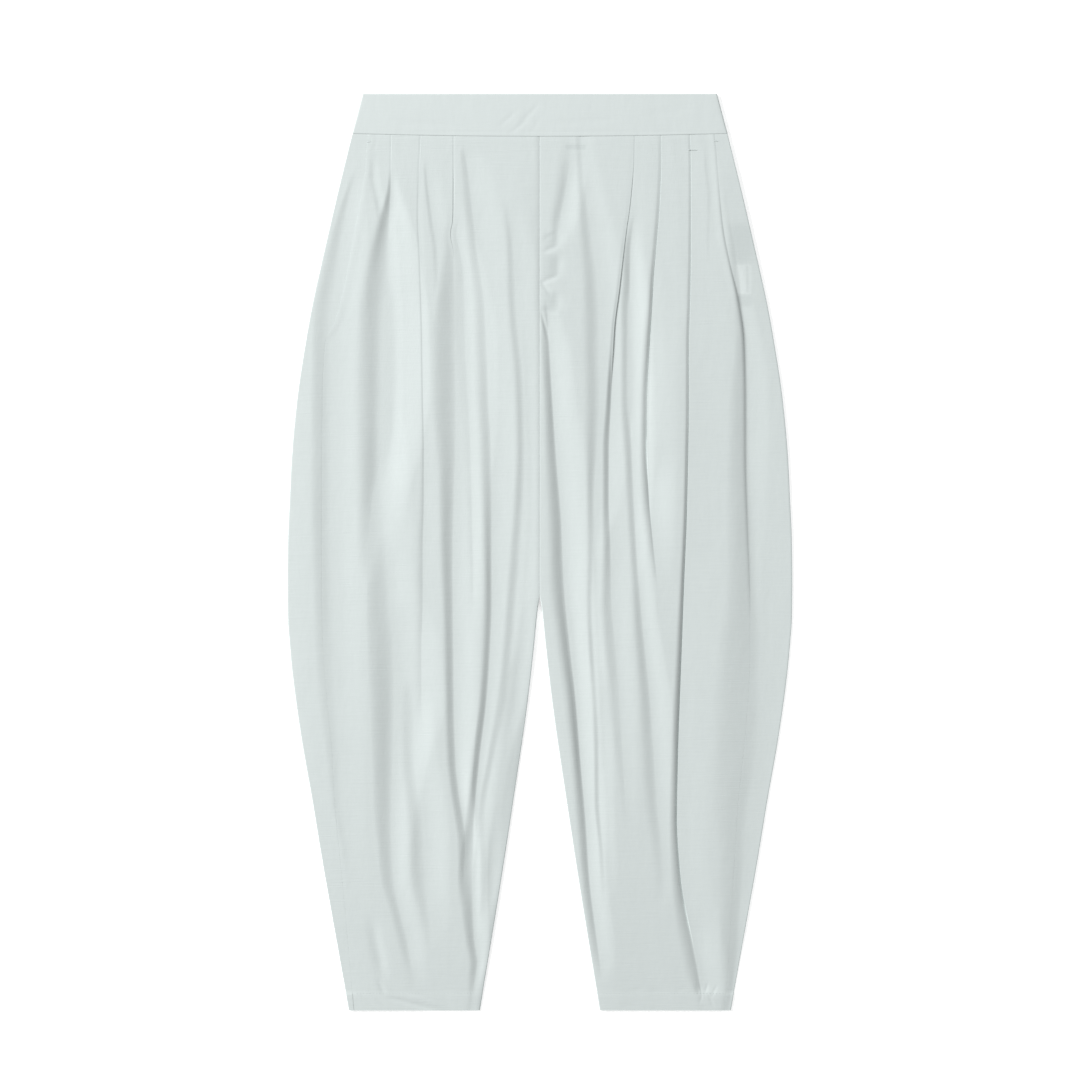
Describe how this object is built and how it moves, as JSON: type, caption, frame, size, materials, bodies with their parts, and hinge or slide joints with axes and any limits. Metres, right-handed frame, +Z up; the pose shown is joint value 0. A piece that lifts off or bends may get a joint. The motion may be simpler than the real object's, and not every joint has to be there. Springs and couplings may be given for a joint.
{
  "type": "harem pants laid flat",
  "caption": "Full-cut tapered trousers lying flat, with a plain waistband, pleated fronts, slanted pocket mouths and narrow turned hems.",
  "frame": {"origin": "middle of the footprint, on the surface that the garment lies on", "axes": "+X across towards the wearer's left leg, +Y from the hems to the waist, +Z up from the surface, out of the front of the garment"},
  "size_m": [0.53, 0.962, 0.007],
  "materials": {
    "cloth": "soft satin sheen, fine slub weave",
    "waistband": "soft satin sheen, fine slub weave"
  },
  "bodies": {
    "root": {"waistband_front": "waistband", "waistband_back": "waistband", "front_left": "cloth", "front_right": "cloth", "back_left": "cloth", "back_right": "cloth"}
  },
  "joints": []
}
